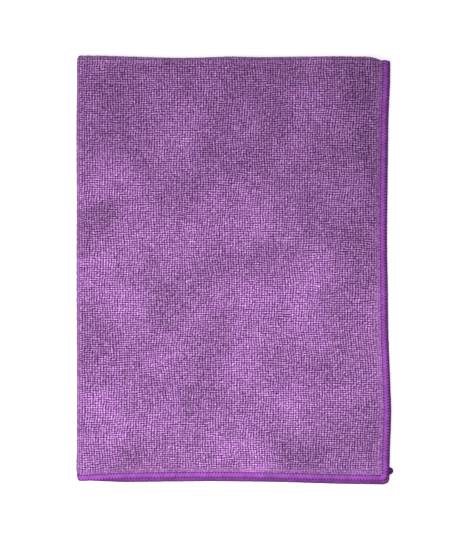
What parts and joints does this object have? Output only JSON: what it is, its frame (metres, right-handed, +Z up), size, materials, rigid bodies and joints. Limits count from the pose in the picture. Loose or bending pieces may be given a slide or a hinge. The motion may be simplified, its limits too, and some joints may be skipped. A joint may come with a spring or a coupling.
{
  "type": "quick dry towel",
  "caption": "Microfibre terry towel with overlocked edges, folded in quarters and lying flat; both folds open.",
  "frame": {"origin": "centre of the bounding box's base: the flat face that the folded towel rests on", "axes": "X along the folded width, with the left fold at -X and the side hems at +X; Y along the folded length, with the top fold at +Y and the end hems at -Y; Z up through the four plies"},
  "size_m": [0.2534, 0.3416, 0.0101],
  "materials": {
    "terry_cloth": "matt looped microfibre terry, muted orchid purple, lighter loop tips over dark gaps",
    "overlock_thread": "soft sheen of textured overlock thread, violet, a little more saturated than the cloth"
  },
  "bodies": {
    "bottom_quarter": {"bottom_ply": "terry_cloth", "bottom_side_hem": "overlock_thread", "bottom_end_hem": "overlock_thread", "left_turn_lower": "terry_cloth", "end_hem_turn_lower": "overlock_thread"},
    "third_quarter": {"third_ply": "terry_cloth", "third_side_hem": "overlock_thread", "third_end_hem": "overlock_thread", "top_turn_inner": "terry_cloth", "side_hem_turn_inner": "overlock_thread"},
    "second_quarter": {"second_ply": "terry_cloth", "second_side_hem": "overlock_thread", "second_end_hem": "overlock_thread", "left_turn_upper": "terry_cloth", "end_hem_turn_upper": "overlock_thread", "thread_tail": "overlock_thread"},
    "top_quarter": {"top_ply": "terry_cloth", "top_side_hem": "overlock_thread", "top_end_hem": "overlock_thread", "top_turn_outer": "terry_cloth", "side_hem_turn_outer": "overlock_thread", "corner_turn": "terry_cloth"}
  },
  "joints": [
    {"name": "left_fold_lower", "type": "hinge", "parent": "bottom_quarter", "child": "third_quarter", "pos_m": [-0.12425, 0, 0.00245], "axis": [0, -1, 0], "range_deg": [0, 180], "deforming": ["left_turn_lower", "end_hem_turn_lower", "corner_turn"]},
    {"name": "top_fold", "type": "hinge", "parent": "third_quarter", "child": "second_quarter", "pos_m": [0, 0.1657, 0.00505], "axis": [-1, 0, 0], "range_deg": [0, 180], "deforming": ["top_turn_inner", "side_hem_turn_inner", "top_turn_outer", "side_hem_turn_outer"]},
    {"name": "left_fold_upper", "type": "hinge", "parent": "second_quarter", "child": "top_quarter", "pos_m": [-0.12425, 0, 0.00765], "axis": [0, -1, 0], "range_deg": [0, 180], "deforming": ["left_turn_upper", "end_hem_turn_upper"]}
  ],
  "couplings": [
    {"joint": "left_fold_upper", "follows": "left_fold_lower", "ratio": 1}
  ]
}
